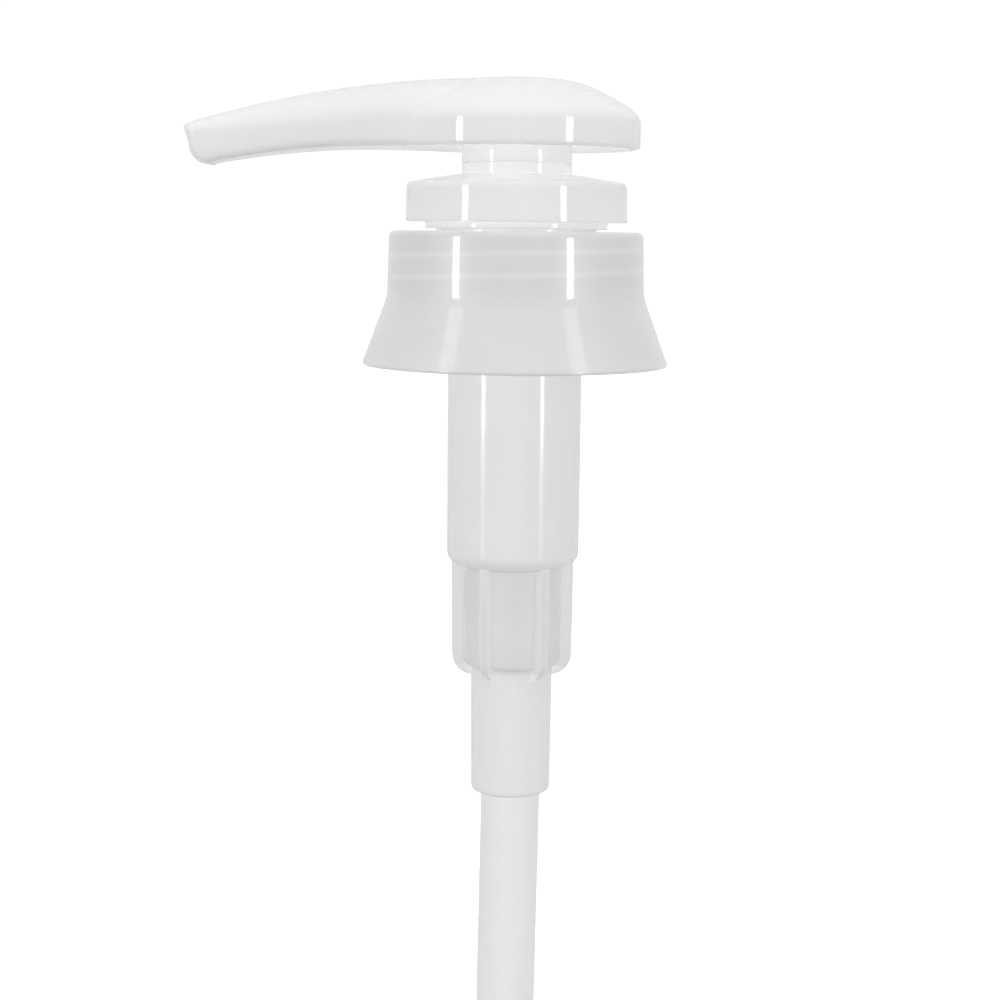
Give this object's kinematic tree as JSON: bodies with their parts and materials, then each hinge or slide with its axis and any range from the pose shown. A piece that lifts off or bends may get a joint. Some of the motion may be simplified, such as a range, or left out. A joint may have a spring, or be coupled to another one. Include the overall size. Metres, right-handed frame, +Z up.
{
  "type": "condiment pump dispenser",
  "caption": "Lock-down condiment pump with a long curved spout, a milky flared screw cap, a ribbed valve chamber and a dip tube, for a wide-neck sauce jug.",
  "frame": {"origin": "on the pump's axis, in the plane of the gasket's underside, where the jug's rim lies", "axes": "+Z up along the pump's axis, the spout points to -X, +Y completes the right-handed frame"},
  "size_m": [0.097, 0.0614, 0.2942],
  "materials": {
    "gloss_white": "glossy white polypropylene",
    "housing_white": "semi-gloss natural white polypropylene",
    "stem_white": "smooth white polypropylene",
    "milky_cap": "translucent milky polypropylene, glossy outside",
    "milky_tube": "translucent satin polyethylene",
    "soft_seal": "soft natural polyethylene",
    "foam_gasket": "closed-cell foam",
    "spring_steel": "drawn stainless wire",
    "ball_steel": "polished stainless ball"
  },
  "bodies": {
    "base": {"housing": "housing_white", "lock_collar": "gloss_white", "stem_seal": "soft_seal", "gasket": "foam_gasket", "spring": "spring_steel", "ball_cage": "housing_white", "dip_tube": "milky_tube"},
    "cap": {"closure": "milky_cap"},
    "plunger": {"piston": "soft_seal"},
    "head": {"pump_head": "gloss_white", "stem": "stem_white", "piston_seat": "stem_white"},
    "upper_ball": {"outlet_ball": "ball_steel"},
    "lower_ball": {"inlet_ball": "ball_steel"}
  },
  "joints": [
    {"name": "cap_turn", "type": "hinge", "parent": "base", "child": "cap", "pos_m": [0, 0, 0.004], "axis": [0, 0, 1], "continuous": true},
    {"name": "pump_stroke", "type": "slide", "parent": "base", "child": "plunger", "axis": [0, 0, 1], "range_m": [0, 0.0435], "deforming": ["spring"]},
    {"name": "spout_turn", "type": "hinge", "parent": "plunger", "child": "head", "pos_m": [0, 0, 0.02], "axis": [0, 0, 1], "continuous": true},
    {"name": "outlet_ball_lift", "type": "slide", "parent": "head", "child": "upper_ball", "axis": [0, 0, 1], "range_m": [0, 0.0022]},
    {"name": "inlet_ball_lift", "type": "slide", "parent": "base", "child": "lower_ball", "axis": [0, 0, 1], "range_m": [0, 0.0038]}
  ]
}
